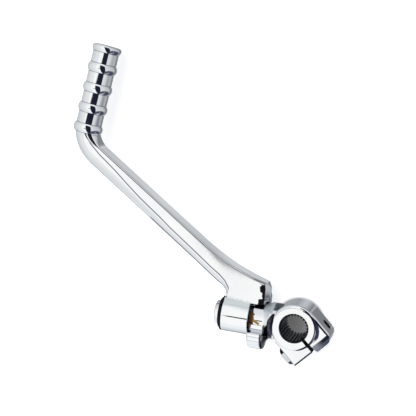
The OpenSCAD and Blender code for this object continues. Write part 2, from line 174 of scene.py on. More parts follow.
class Wire:
    # one socket of a node tree, so that shader sums read as plain Python
    def __init__(self, tree, socket=None):
        self.tree, self.socket = tree, socket

    def node(self, kind, settings=None, inputs=None, out=0):
        made = self.tree.nodes.new(kind)
        for key, value in (settings or {}).items():
            if key == "stops":
                ramp = made.color_ramp
                ramp.elements.remove(ramp.elements[1])
                ramp.elements[0].position, ramp.elements[0].color = value[0]
                for place, colour in value[1:]:
                    ramp.elements.new(place).color = colour
            else:
                setattr(made, key, value)
        for key, value in (inputs or {}).items():
            if isinstance(value, Wire):
                self.tree.links.new(value.socket, made.inputs[key])
            else:
                made.inputs[key].default_value = value
        return Wire(self.tree, made.outputs[out] if len(made.outputs) else None)

    def math(self, operation, *values):
        return self.node("ShaderNodeMath", {"operation": operation}, dict(enumerate(values)))

    def __add__(self, other):
        return self.math("ADD", self, other)

    def __radd__(self, other):
        return self.math("ADD", other, self)

    def __sub__(self, other):
        return self.math("SUBTRACT", self, other)

    def __rsub__(self, other):
        return self.math("SUBTRACT", other, self)

    def __mul__(self, other):
        return self.math("MULTIPLY", self, other)

    def __rmul__(self, other):
        return self.math("MULTIPLY", other, self)

    def __truediv__(self, other):
        return self.math("DIVIDE", self, other)

    def step(self, low, high):
        # 0 below low, 1 above high, smooth between
        return self.node("ShaderNodeMapRange", {"interpolation_type": "SMOOTHSTEP"},
                         {"Value": self, "From Min": low, "From Max": high})

    def curve(self, points):
        # a line through points of (value, result), straight between them
        lows = [min(row[i] for row in points) for i in (0, 1)]
        spans = [max(row[i] for row in points) - lows[i] for i in (0, 1)]
        stops = [((a - lows[0]) / spans[0], (*[(b - lows[1]) / spans[1]] * 3, 1)) for a, b in points]
        share = (self - lows[0]) / spans[0]
        return self.node("ShaderNodeValToRGB", {"stops": stops}, {0: share}) * spans[1] + lows[1]

    def within(self, low, high, soft):
        # 1 between low and high, 0 outside them
        return self.step(low - soft, low + soft) * (1 - self.step(high - soft, high + soft))


def colourMix(wire, share, first, second):
    return wire.node("ShaderNodeMix", {"data_type": "RGBA"}, {0: share, 6: first, 7: second}, out=2)


def noise(wire, place, scale, detail):
    return wire.node("ShaderNodeTexNoise", None, {"Vector": place, "Scale": scale, "Detail": detail})


def split(wire, vector):
    # the three numbers of a vector
    outputs = wire.node("ShaderNodeSeparateXYZ", None, {0: vector}).socket.node.outputs
    return [Wire(wire.tree, output) for output in outputs]


def newMaterial(name):
    material = bpy.data.materials.new(name)
    material.use_nodes = True
    material.node_tree.nodes.clear()
    return material, Wire(material.node_tree)


chromeLook = {
    "bright": (0.945, 0.96, 0.955, 1), "dull": (0.89, 0.91, 0.92, 1), "dullEdge": (0.35, 0.75),
    "roughLow": 0.035, "roughHigh": 0.075, "roughEdge": (0.4, 0.7), "speckSize": 900.0,
    "waveSize": 45, "waveDepth": 0.00004, "waveStrength": 0.25,
    "raggedSize": 700.0,  # breaks up the outline of every mark
    # colours of the marks, which are real stains and grease, painted shade, painted dark reflection lines and painted
    # pale highlights
    "stain": (0.16, 0.075, 0.025, 1), "drip": (0.42, 0.24, 0.05, 1), "greaseAndPaintedShade": (0.012, 0.012, 0.016, 1),
    "streak": (0.1, 0.1, 0.15, 1), "darkReflectionLine": (0.13, 0.13, 0.2, 1), "valley": (0.05, 0.07, 0.075, 1),
    "matt": (0.5, 0.56, 0.6, 1), "paintedSheen": (0.6, 0.66, 0.8, 1), "paintedBlueShade": (0.27, 0.28, 0.4, 1),
    "shade": (0.5, 0.56, 0.56, 1), "edge": (0.04, 0.04, 0.09, 1),
}


def chromePlate(name, marks):
    # marks gives rows of (where, colour, added roughness, how far it is matt and not metal, for dirt and for painted
    # pale patches)
    look = chromeLook
    material, wire = newMaterial(name)
    place = wire.node("ShaderNodeTexCoord", out="Object")
    cloud = noise(wire, place, look["waveSize"], 3.0)
    speck = noise(wire, place, look["speckSize"], 2.0)
    ragged = noise(wire, place, look["raggedSize"], 4.0) - 0.5
    base = colourMix(wire, cloud.step(*look["dullEdge"]), look["bright"], look["dull"])
    rough = look["roughLow"] + (look["roughHigh"] - look["roughLow"]) * speck.step(*look["roughEdge"])
    metal = 1.0
    x, y, z = (number / mm for number in split(wire, place))
    for where, colour, dullness, nonMetal in marks(wire, x, y, z, ragged):
        base = colourMix(wire, where, base, look[colour])
        rough = rough + where * dullness if dullness else rough
        metal = metal - where * nonMetal if nonMetal else metal
    bump = wire.node("ShaderNodeBump", None,
                     {"Height": cloud, "Strength": look["waveStrength"], "Distance": look["waveDepth"]})
    shader = wire.node("ShaderNodeBsdfPrincipled", None,
                       {"Base Color": base, "Metallic": metal, "Roughness": rough, "Normal": bump})
    wire.node("ShaderNodeOutputMaterial", None, {"Surface": shader})
    return material


steelLook = {"toneEdge": (0.3, 0.7), "fine": 6, "fineRough": 0.12, "bumpStrength": 0.3, "bumpDepth": 0.00005}


def steelFinish(name, light, dark, metal, rough, grain, gloss=0.5):
    look = steelLook
    material, wire = newMaterial(name)
    place = wire.node("ShaderNodeTexCoord", out="Object")
    coarse = noise(wire, place, grain, 4.0)
    fine = noise(wire, place, grain * look["fine"], 2.0)
    base = colourMix(wire, coarse.step(*look["toneEdge"]), dark, light)
    bump = wire.node("ShaderNodeBump", None,
                     {"Height": fine, "Strength": look["bumpStrength"], "Distance": look["bumpDepth"]})
    shader = wire.node("ShaderNodeBsdfPrincipled", None,
                       {"Base Color": base, "Metallic": metal, "Roughness": rough + look["fineRough"] * fine,
                        "Specular IOR Level": gloss, "Normal": bump})
    wire.node("ShaderNodeOutputMaterial", None, {"Surface": shader})
    return material


blackSteel = steelFinish("blackOxideSteel", (0.02, 0.02, 0.024, 1), (0.006, 0.006, 0.008, 1), 1.0, 0.34, 300)
zincSteel = steelFinish("zincSteel", (0.78, 0.79, 0.8, 1), (0.66, 0.67, 0.69, 1), 1.0, 0.12, 250)
# the bore is dull with cutting oil, so it mirrors little even at a grazing angle; its near-black colour is painted
# shade for the inside of the bore and the slit
boreShadeSteel = steelFinish("broachedSteelPaintedShade", (0.03, 0.028, 0.037, 1), (0.009, 0.009, 0.012, 1), 0.3, 0.34, 400, 0.12)
springSteel = steelFinish("springSteel", (0.5, 0.5, 0.52, 1), (0.38, 0.38, 0.4, 1), 1.0, 0.25, 300)
print("finishes made")


sleeve = {"start": -42.0, "end": -26.5, "radius": 10.05, "bore": 6.9, "edge": 0.5}
arm = {
    "angle": 34.6, "rootStart": -40.0, "rootHeight": 20.0, "length": 117.0, "width": 12.2, "thick": 12.6,
    "roundRoot": 5.0, "roundTip": 7.4, "corner": 1.3, "bendRadius": 18.0,
    "flangeEnd": -16.3, "flangeTop": 21.4, "hollow": 11.1, "rootDepth": 4.0,
    # outline of the stop flange's worn end, as (inwards, down from the front)
    "endShape": [(0, 0), (1.6, 0.02), (3.0, 0.1), (3.9, 2.2), (4.9, 4.6), (5.6, 5.6)],
}
peg = {
    "lean": 9.2, "rib": 8.6, "groove": 7.55, "ribs": 5, "pitch": 11.8, "ribWidth": 5.2, "start": 9.4,
    "cap": 1.6, "capRound": 2, "crown": 0.2, "crownRadius": 4,
    "sunk": 0.15, "overlap": 1.5,  # the bend's rod starts inside the peg, a little thinner than its grooves
}
fillet = {"drop": 1.5, "round": 8, "across": 4.7, "up": 7.8, "from": 228, "to": 284, "reach": 13}


def sectionRing(low, high, half, roundWidth, cornerWide, cornerDeep, worn=0):
    # the outline goes from the lower edge over the front to the upper edge, and comes back behind
    # worn, from 0 to 1, turns the rounded corner into the flange's own end shape
    low, high = Vector((*low, 0)), Vector((*high, 0))
    width = (high - low).length
    across = (high - low) / width
    roundWidth = min(roundWidth, width - mix(cornerWide, arm["endShape"][-1][0], worn) - 0.3)
    front = [(roundWidth * (1 - math.cos(a)), half * math.sin(a)) for a in (math.radians(9 * i) for i in range(11))]
    for i, (wide, deep) in enumerate(arm["endShape"]):
        a = math.radians(15 * i)
        front.append((mix(width - cornerWide + cornerWide * math.sin(a), width - arm["endShape"][-1][0] + wide, worn),
                      mix(half - cornerDeep + cornerDeep * math.cos(a), half - deep, worn)))
    front.append((width, mix(min(half - cornerDeep, half - 0.3), 0.3, worn)))
    both = front + [(place, -height) for place, height in reversed(front[1:])]
    return [low + across * place + Vector((0, 0, height)) for place, height in both]


def buildArm():
    turn = math.radians(arm["angle"])
    along = Vector((-math.cos(turn), math.sin(turn)))
    side = Vector((math.sin(turn), math.cos(turn)))
    base = Vector((arm["rootStart"], arm["rootHeight"]))
    corner = base + along * arm["length"]
    lean = math.radians(peg["lean"])
    upPeg = Vector((math.sin(lean), math.cos(lean)))
    acrossPeg = Vector((math.cos(lean), -math.sin(lean)))
    fromTurn, toTurn = 180 - peg["lean"], 270 - arm["angle"]
    tangent = arm["bendRadius"] * math.tan(math.radians((toTurn - fromTurn) / 2))
    centre = corner - along * tangent + side * arm["bendRadius"]
    half, width, c = arm["thick"] / 2, arm["width"], arm["corner"]
    rodRadius = peg["groove"] - peg["sunk"]
    top = corner + upPeg * (tangent + peg["overlap"])
    keys = [(top - acrossPeg * rodRadius, top + acrossPeg * rodRadius, rodRadius, rodRadius, rodRadius, rodRadius)]
    for i in range(25):
        share = i / 24
        grown = ease(share)
        angle = math.radians(mix(fromTurn, toTurn, share))
        out = Vector((math.cos(angle), math.sin(angle)))
        wide = mix(2 * rodRadius, width, grown)
        keys.append((centre + out * (arm["bendRadius"] + wide / 2), centre + out * (arm["bendRadius"] - wide / 2),
                     mix(rodRadius, half, grown), mix(rodRadius, arm["roundTip"], grown),
                     mix(rodRadius, c, grown), mix(rodRadius, c, grown)))
    onArm = lambda place, aside: base + along * place + side * aside
    x0, x1, rootRound = sleeve["start"], arm["flangeEnd"], arm["roundRoot"]
    # stations of the root, from the straight arm down into the sleeve: the lower and the upper corner,
    # half the depth, the rounding below, the upper corner's rounding across and deep, and how far it is worn
    keys += [
        (onArm(22, -width / 2), onArm(22, width / 2), half, rootRound, c, c),
        (onArm(11, -width / 2 - 0.2), onArm(10.3, width / 2 + 0.8), half, rootRound, c, c),
        (onArm(5.4, -width / 2 - 0.2), onArm(1.9, width / 2 + 2), half, rootRound, c, c),
        (Vector((x0 - 2.5, 15.9)), Vector((mix(x0, x1, 0.56), arm["flangeTop"] + 2.6)), half, rootRound * 0.9, c, c),
        (Vector((x0 - 0.5, 14)), Vector((x1 - 2.2, arm["flangeTop"])), half, rootRound * 0.6, c, c, 0.35),
        (Vector((x0 + 0.3, 12)), Vector((x1 - 0.2, arm["flangeTop"] - 2.9)), half, rootRound * 0.4, c + 0.7, c, 1),
        (Vector((x0 + 0.3, arm["rootDepth"])), Vector((x1, arm["rootDepth"])), half, rootRound * 0.3, c + 0.7, c, 1),
    ]
    return skinned([sectionRing(*key) for key in keys]), corner, lean


def buildPeg(corner, lean):
    rise = peg["rib"] - peg["groove"]
    bead = ((peg["ribWidth"] / 2) ** 2 + rise ** 2) / (2 * rise)
    half = math.degrees(math.asin(peg["ribWidth"] / 2 / bead))
    last = (peg["ribs"] - 1) * peg["pitch"]
    end, r = last + peg["cap"], peg["capRound"]
    profile = [(0, -peg["ribWidth"] / 2)]
    for i in range(peg["ribs"] - 1):
        profile += arc((peg["rib"] - bead, i * peg["pitch"]), bead, -half, half, 12)
    profile += arc((peg["rib"] - bead, last), bead, -half, 0, 6)
    profile += arc((peg["rib"] - r, end - r), r, 0, 72, 8)
    profile += [(peg["crownRadius"], end + peg["crown"] / 2), (0, end + peg["crown"])]
    shape = turned([(place, distance) for distance, place in profile], "Z", 96)
    place = Vector((*corner, 0)) + Vector((math.sin(lean), math.cos(lean), 0)) * peg["start"]
    stand = Matrix.Rotation(-lean, 4, "Z") @ Matrix.Rotation(-math.pi / 2, 4, "X")
    return turnedBy(shape, Matrix.Translation(place) @ stand)


def buildFillet(side):
    # the fillet between the arm's root and the sleeve, in front of the sleeve or behind it
    depth, top = arm["rootDepth"], arm["thick"] / 2
    curve = arc((top + fillet["across"], top + fillet["up"]), fillet["round"], fillet["from"], fillet["to"], 20)
    profile = [(depth, -1), (depth, sleeve["radius"] - fillet["drop"])] + curve + [(fillet["reach"], -1)]
    start, end = sleeve["start"] + 0.6, sleeve["end"] - 0.3
    return prism([(start, across, side * up) for across, up in profile], (end - start, 0, 0))


def buildSleeve():
    start, end, r, edge = (sleeve[key] for key in ("start", "end", "radius", "edge"))
    return turned([(start, 0), (start, r - edge), (start + edge / 3, r - edge / 3), (start + edge, r),
                   (end - edge / 2, r), (end, r - edge / 2), (end, 0)], "X")


leverWear = {
    # bands are (from, to, softness), edges are (from, to), and lines are points that a band follows
    "front": (2.5, 3.5),
    "ridgeLine": [(-4.7, -7.7), (-2.7, -3.4), (1.7, -1.6), (6, -1.1), (13, -1.2), (30, -0.8), (45, -0.6), (53, -0.1),
                  (61, 0.1), (70, 0.4), (78, 1.0), (85, 1.7), (91, 2.3), (104, 3.0), (115, 4.7)],
    "ridge": (-0.3, 0.3, 0.15), "ridgeRun": (-4.6, 113, 1.5),
    "rimLine": [(-16.9, 12.6), (-7.9, 9.5), (1.9, 7.3), (10.3, 6.1), (22, 5.35), (112, 5.35)],
    "rim": (-0.25, 0.25, 0.12), "rimRun": (-17, 112, 2),
    "under": (1.2, 5.0, 0.4), "underSide": (3.5, 4.5), "underRun": (-2, 58, 2),
    "endReflectionLine": [(8, 1.4), (9, 3.5), (12, 3.3), (12.7, 1.3), (15.8, 1.5), (16.6, 3.0), (19.5, 3.1), (20.8, 1.6)],
    "endReflection": (0, 3.6, 0.15), "endReflectionInset": 2.5, "endReflectionRise": (8.2, 20.7, 0.3),
    "endReflectionFront": (5.4, 5.8), "endReflectionEnd": (-18.9, -18.6),
    "hollow": (-43, -25.5, 2), "hollowRise": (5.8, 10.2, 1.4), "hollowFront": (3, 5),
    "hollowMiddle": -34, "hollowLean": 0.1,
    "ribReflection": (2.5, 2.95, 0.15), "ribReflectionStart": -3.5, "ribReflectionSoft": 0.3, "ribReflectionFront": (-1, 3),
    "bellyFront": (-1, 1), "bellyPale": (5.6, 7.2), "bellyDark": (7.8, 8.7),
}


def leverMarks(wire, x, y, z, ragged):
    wear = leverWear
    # painted dark reflection lines along the forged arm, in its own directions
    turn = math.radians(arm["angle"])
    fromX, fromY = x - arm["rootStart"], y - arm["rootHeight"]
    along = fromY * math.sin(turn) - fromX * math.cos(turn)
    aside = fromX * math.sin(turn) + fromY * math.cos(turn)
    front = z.step(*wear["front"])
    ridge = (aside - along.curve(wear["ridgeLine"])).within(*wear["ridge"]) * front * along.within(*wear["ridgeRun"])
    fromRim = aside - along.curve(wear["rimLine"]) + ragged * 0.3
    rim = fromRim.within(*wear["rim"]) * front * along.within(*wear["rimRun"])
    # a painted dark reflection line along the arm's rounded side
    under = z.within(*wear["under"]) * (0 - aside).step(*wear["underSide"]) * along.within(*wear["underRun"])
    # painted dark reflections on the worn end of the stop flange
    inward = x - arm["flangeEnd"] + wear["endReflectionInset"] + y.curve(wear["endReflectionLine"]) + ragged * 1.6
    endReflection = inward.within(*wear["endReflection"]) * y.within(*wear["endReflectionRise"]) * z.step(*wear["endReflectionFront"])
    endReflection = endReflection * (1 - x.step(*wear["endReflectionEnd"]))
    # the soft shade where the arm's face runs down into the sleeve
    lower = y + ragged * 2 + (x - wear["hollowMiddle"]) * wear["hollowLean"]
    hollow = (x + ragged * 3).within(*wear["hollow"]) * lower.within(*wear["hollowRise"])
    hollow = hollow * z.step(*wear["hollowFront"])
    # a thin painted dark reflection line on each side of every rib of the peg
    lean, length = math.radians(peg["lean"]), arm["length"]
    cornerX, cornerY = arm["rootStart"] - length * math.cos(turn), arm["rootHeight"] + length * math.sin(turn)
    up = (x - cornerX) * math.sin(lean) + (y - cornerY) * math.cos(lean) - peg["start"]
    fromRib = wire.math("ABSOLUTE", wire.math("WRAP", up, peg["pitch"] / 2, -peg["pitch"] / 2))
    ribbed = up.within(wear["ribReflectionStart"], (peg["ribs"] - 1) * peg["pitch"], wear["ribReflectionSoft"])
    ribReflection = (fromRib + ragged * 0.5).within(*wear["ribReflection"]) * ribbed * z.step(*wear["ribReflectionFront"])
    # painted shade: the sleeve darkens towards its underside, with a painted dark reflection band at its lower outline
    belly = x.within(sleeve["start"] + 0.5, sleeve["end"] - 0.3, 0.2) * z.step(*wear["bellyFront"])
    low = ragged * 0.5 - y
    return [
        (belly * low.step(*wear["bellyPale"]) * 0.25, "darkReflectionLine", 0.05, 0),
        (belly * low.step(*wear["bellyDark"]) * 0.75, "edge", 0.05, 0),
        (rim * 0.55, "darkReflectionLine", 0.05, 0),
        (hollow * 0.75, "shade", 0.02, 0),
        (ridge, "darkReflectionLine", 0.05, 0),
        (ribReflection * 0.6, "darkReflectionLine", 0.05, 0),
        (under * 0.8, "darkReflectionLine", 0.05, 0),
        (endReflection, "greaseAndPaintedShade", 0.2, 0),
    ]


leverChrome = chromePlate("leverChrome", leverMarks)
armShape, bendCorner, pegLean = buildArm()
leverShape = combined("UNION", armShape, buildPeg(bendCorner, pegLean), buildFillet(1), buildFillet(-1), buildSleeve())
leverShape = combined("DIFFERENCE", leverShape,
                      rod(sleeve["bore"], (sleeve["start"] - 2, 0, 0), (sleeve["end"] + 2, 0, 0)),
                      rod(arm["hollow"], (sleeve["end"], 0, 0), (arm["flangeEnd"] + 2, 0, 0), 160))
finished("leverForging", leverShape, [leverChrome], "lever", "lever")


hub = {
    "radius": 13.0, "half": 11.0, "rim": 1.8, "tip": 7.0, "root": 8.0, "teeth": 26,
    "tipHalf": 0.465, "rootHalf": 0.175, "lead": 8.3, "chamfer": 0.8,
}
ears = {
    "turn": 43.0, "slit": 2.0, "half": 13.4, "step": 0.8, "boltPlace": 10.3, "nearHole": 3.3, "farHole": 3.05,
    "blendBack": 0.48, "blendAside": 0.84,  # where the ears leave the hub, as shares of its radius
    "plain": {"reach": 16.6, "edge": 0.4, "corner": 0.4, "nose": 0.4},
    "tapped": {"reach": 18.6, "edge": 2.0, "corner": 6.5, "nose": 5.0},
}
neck = {"radius": 9.0, "shoulder": -24.0, "flare": 6.0, "flareTurn": 40, "end": -6.5}
collar = {
    "start": -26.3, "end": -17.5, "rim": 1.4, "stop": 6.4, "back": -10.6, "plate": 17.0,
    "lobe": 12.3, "drop": 5.3, "behind": 1.1, "web": 7.2,
    "ring": 10.7, "ringStart": -25.4, "ringRound": 2.0, "ringTop": 1.7,
}
spindle = {"end": -46.9, "radius": 6.85, "chamfer": 1.0, "clipStart": -44.15, "clipEnd": -43.05, "clipDepth": 0.4}
far, tall = 50, 20  # where cutters end, well outside the part: sideways, and along the bore


def buildHub():
    r, z, c = hub["radius"], hub["half"], hub["rim"]
    profile = [(-z, 0)] + [(place, distance) for distance, place in arc((r - c, -z + c), c, -90, 0, 10)]
    profile += [(place, distance) for distance, place in arc((r - c, z - c), c, 0, 90, 10)] + [(z, 0)]
    return turned(profile, "Z", 160)


def buildEar(shape):
    # one ear on the +Y side of the slit, cut from three outlines
    w, z = ears["half"], hub["half"] - ears["step"]
    back, aside = hub["radius"] * ears["blendBack"], hub["radius"] * ears["blendAside"]
    reach, edge, corner, nose = (shape[key] for key in ("reach", "edge", "corner", "nose"))
    across = [(0, z), (0, -z)] + arc((w - edge, -z + edge), edge, -90, 0, 8) + arc((w - edge, z - edge), edge, 0, 90, 8)
    plan = [(-back, 0), (reach, 0)] + arc((reach - corner, w - corner), corner, 0, 90, 12) + [(0, w), (-back, aside)]
    tip = reach - nose
    side = [(-back - 1, z + 1), (-back - 1, -z - 1), (tip, -z - 1)] + arc((tip, -z + nose), nose, -90, 0, 12)
    side += arc((tip, z - nose), nose, 0, 90, 12) + [(tip, z + 1)]
    return combined("INTERSECT",
                    prism([(-hub["radius"], y, h) for y, h in across], (hub["radius"] + reach + 1, 0, 0)),
                    prism([(x, y, -tall) for x, y in plan], (0, 0, 2 * tall)),
                    prism([(x, -2 * w, h) for x, h in side], (0, 4 * w, 0)))


def buildEars():
    plain, tapped = buildEar(ears["plain"]), buildEar(ears["tapped"])
    bmesh.ops.scale(plain, vec=(1, -1, 1), verts=plain.verts)
    bmesh.ops.recalc_face_normals(plain, faces=plain.faces)
    return [turnedBy(ear, intoClamp) for ear in (plain, tapped)]


def buildNeck():
    start, low = collar["end"] - 1, neck["radius"] - 0.1
    flare = arc((start, low + neck["flare"]), neck["flare"], 270, 270 + neck["flareTurn"], 10)
    end = [(neck["end"], flare[-1][1]), (neck["end"], 0)]
    return turned([(neck["shoulder"], 0), (neck["shoulder"], neck["radius"])] + flare + end, "X")


def collarDisc(radius, tail):
    x0, x1, c = collar["start"], collar["end"], collar["rim"]
    rims = arc((x0 + c, radius - c), c, 180, 90, 8) + arc((x1 - c, radius - c), c, 90, 0, 8)
    return turned([(x0, 0)] + rims + tail, "X", 160)


def buildCollar():
    x0, x1, stop, web = collar["start"], collar["end"], collar["stop"], collar["web"]
    low, high = x0 - 1, x1 + 20
    lobe = collarDisc(collar["lobe"],
                      arc((x1 + web, collar["lobe"] - collar["rim"]), web, 180, 262, 16) + [(x1 + web, 0)])
    bmesh.ops.translate(lobe, vec=(0, -collar["drop"], -collar["behind"]), verts=lobe.verts)
    plate = combined("DIFFERENCE", collarDisc(collar["plate"], [(x1, 0)]),
                     block((low, -far, -stop), (high, far, far)))
    start, r, bend = collar["ringStart"], collar["ring"], collar["ringRound"]
    ring = turned([(start, 0)] + arc((start + bend, r - bend), bend, 180, 90, 8) + [(x1, r), (x1, 0)], "X")
    shape = combined("UNION", lobe, plate)
    # the two stop faces, and the back that is ground flat
    shape = combined("DIFFERENCE", shape,
                     block((low, -stop, -stop), (high, far, far)),
                     block((low, -far, -far), (high, far, collar["back"])))
    return [shape, combined("DIFFERENCE", ring, block((low, -collar["ringTop"], -far), (high, far, far)))]


def buildSpindle():
    r, c, d = spindle["radius"], spindle["chamfer"], spindle["clipDepth"]
    end, a, b, root = spindle["end"], spindle["clipStart"], spindle["clipEnd"], neck["shoulder"] + 1
    return turned([(end, 0), (end, r - c), (end + c * 0.3, r - c * 0.3), (end + c, r),
                   (a, r), (a, r - d), (b, r - d), (b, r), (root, r), (root, 0)], "X")


def buildBore():
    # the outline of the broach: a tooth's flat tip and the groove beside it, all the way round
    tooth = ((hub["tip"], -hub["tipHalf"]), (hub["root"], -hub["rootHalf"]),
             (hub["root"], hub["rootHalf"]), (hub["tip"], hub["tipHalf"]))
    points, pitch = [], math.tau / hub["teeth"]
    for i in range(hub["teeth"]):
        a = i * pitch
        for distance, aside in tooth:
            points.append((distance * math.cos(a) - aside * math.sin(a),
                           distance * math.sin(a) + aside * math.cos(a), -hub["half"] - 1))
    return prism(points, (0, 0, 2 * hub["half"] + 2))


def buildLead(side):
    # the lead-in chamfer at one end of the bore
    top, low = hub["half"], hub["lead"] - hub["chamfer"]
    return rod(low, (0, 0, side * (top - hub["chamfer"])), (0, 0, side * (top + 0.01)), 96, hub["lead"])


def clampTools():
    # the slit, the clear hole of the plain ear and the tapped hole of the other
    half, place = ears["slit"] / 2, ears["boltPlace"]
    slit = block((hub["tip"] - 1, -half, -tall), (ears["tapped"]["reach"] + 2, half, tall))
    near = rod(ears["nearHole"], (place, -ears["half"] - 1, 0), (place, 0, 0), 40)
    back = rod(ears["farHole"], (place, 0, 0), (place, ears["half"] + 1, 0), 40)
    return [turnedBy(tool, intoClamp) for tool in (slit, near, back)]


bossWear = {
    # bands are (from, to, softness), edges are (from, to), and lines are points of (y, place)
    "pocket": (-26.9, -23.3, 0.3), "pocketRise": (-6.5, 5.4, 0.5), "pocketFront": (-2, 1),
    "rust": (-26.1, -23.5, 0.5), "rustRise": (-4.2, 4.2, 0.6),
    "run": (-25.2, -20.0, 0.4), "runStart": -24.1, "runTop": 0.8, "runSlope": 0.43,
    "runRise": (-0.8, 0.8, 0.25), "runFront": (4, 6),
    "recessLine": [(-17, -18.8), (-10.6, -17.7), (-7, -17.0), (-2.8, -16.8), (-1.4, -15.4), (1.8, -15.3),
                   (4.2, -14.0), (6.6, -12.3)],
    "recessHub": [(-17, 15.5), (-9, 15.5), (-7, 14.0), (-4.5, 12.5), (-3, 12.0), (1.7, 11.7), (4.6, 12.3), (6.6, 13.0)],
    "recessFront": (-6, -4), "recessSide": (7.5, 9), "recessTop": (5.6, 6.1),
    "streak": (13.4, 14.9, 0.3), "streakRise": (-16, 3, 2),
    "valley": (-12.6, -6.0, 0.5), "valleyHub": (12.9, 13.2), "valleyRise": (7.0, 7.8), "valleyFront": (8.6, 9.4),
    "paintedLitFacet": (-18.4, -12.9, 0.3), "paintedLitFacetRise": (5.4, 6.2), "paintedLitFacetFront": (8.6, 9.4),
    "ring": (11.6, 11.9, 0.12), "ringFront": (10, 10.5), "ringSide": (-10.6, -2.5, 1), "ringRise": (4.5, 5.5),
    # painted dark reflection lines on the collar, as (from, to, softness, strength) by angle round the lobe
    "paintedReflectionLines": [(4.6, 7, 0.4, 1), (-8.5, -5, 0.8, 0.6), (-18, -14, 0.8, 0.8), (-30.5, -27, 0.6, 1), (-48, -42, 0.8, 1)],
    "paintedReflectionLinesRise": (-16, -1), "paintedReflectionLinesFront": (-6, -4),
    # the painted dark reflection arc on the tapped ear, with its half width by distance from the bore along the slit
    "arcRadius": 12.6, "arcMiddle": 6, "arcTilt": 0.15, "arcEdge": (-0.1, 0.15),
    "arcHalf": [(-5, 0.2), (-2, 0.35), (3, 0.55), (8, 0.95), (11, 0.85), (12.8, 0.55)],
    "arcAcross": (1.2, 2.2), "arcRun": (-4, 12.6, 0.5), "arcFront": (8.5, 9.5),
    "paintedSheen": (1.5, 8.5), "paintedSheenOutward": (13.2, 15), "paintedSheenAcross": (0.8, 1),
    "wall": (12.6, 12.95), "wallFront": (8.5, 10.5), "wallRise": (1, 5),
    "lip": (0.9, 1.1), "lipInset": (1.05, 0.8), "flankInset": (0.55, 0.35), "flankRun": (-3, -1), "lineFront": (8, 9),
}


